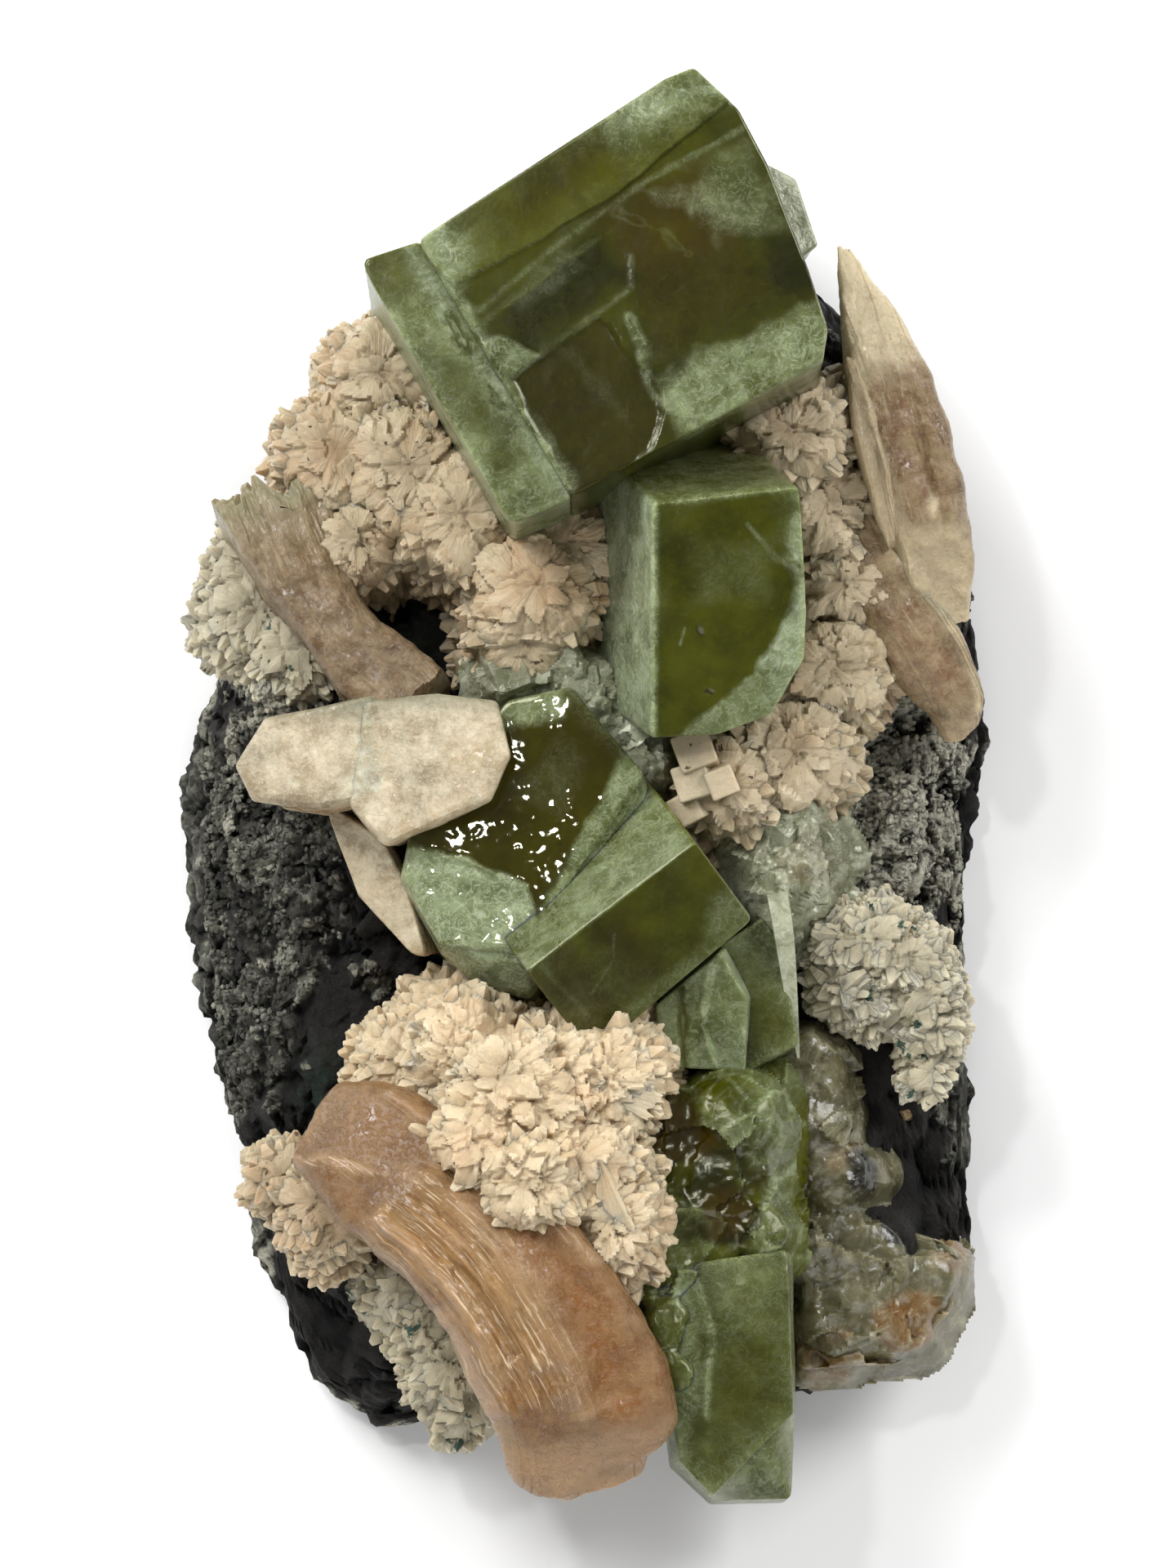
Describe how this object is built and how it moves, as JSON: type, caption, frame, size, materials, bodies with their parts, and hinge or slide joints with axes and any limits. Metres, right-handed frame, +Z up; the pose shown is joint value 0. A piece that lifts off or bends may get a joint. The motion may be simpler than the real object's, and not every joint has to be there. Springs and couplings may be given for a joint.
{
  "type": "apophyllite cluster",
  "caption": "Mineral specimen: green apophyllite blocks with peach stilbite sheaves and cream heulandite crusts on a dark basalt slab with a flat cut underside.",
  "frame": {"origin": "middle of the cluster's box, on the flat cut underside of the rock", "axes": "+Z up from the underside through the crystals, +Y along the length towards the largest green block, +X across"},
  "size_m": [0.0735, 0.1253, 0.045],
  "materials": {
    "basalt": "rough, dull, fine-grained dark rock",
    "green_apophyllite": "vitreous, see-through green crystal",
    "clear_apophyllite": "vitreous, nearly colourless crystal",
    "peach_stilbite": "silky to pearly peach crystal bundle",
    "pale_stilbite": "pearly cream to pinkish crystal",
    "heulandite": "pearly cream crust of small blades",
    "glassy_crust": "glassy tan and olive crust"
  },
  "bodies": {
    "root": {"matrix": "basalt", "stilbite_left": "pale_stilbite", "apophyllite_upper": "green_apophyllite", "apophyllite_middle": "green_apophyllite", "apophyllite_centre": "green_apophyllite", "apophyllite_right": "green_apophyllite", "stilbite_lower": "peach_stilbite", "apophyllite_lower": "green_apophyllite", "stilbite_wedge": "pale_stilbite", "stilbite_upper_left": "pale_stilbite", "stilbite_right": "pale_stilbite", "apophyllite_clear_top": "clear_apophyllite", "apophyllite_clear_crust": "clear_apophyllite", "apophyllite_clear_right": "clear_apophyllite", "heulandite_upper": "heulandite", "heulandite_rim_left": "heulandite", "heulandite_right": "heulandite", "heulandite_centre": "heulandite", "heulandite_low_right": "heulandite", "heulandite_low_left": "heulandite", "heulandite_corner": "heulandite", "crystal_crust_low_right": "glassy_crust"}
  },
  "joints": []
}
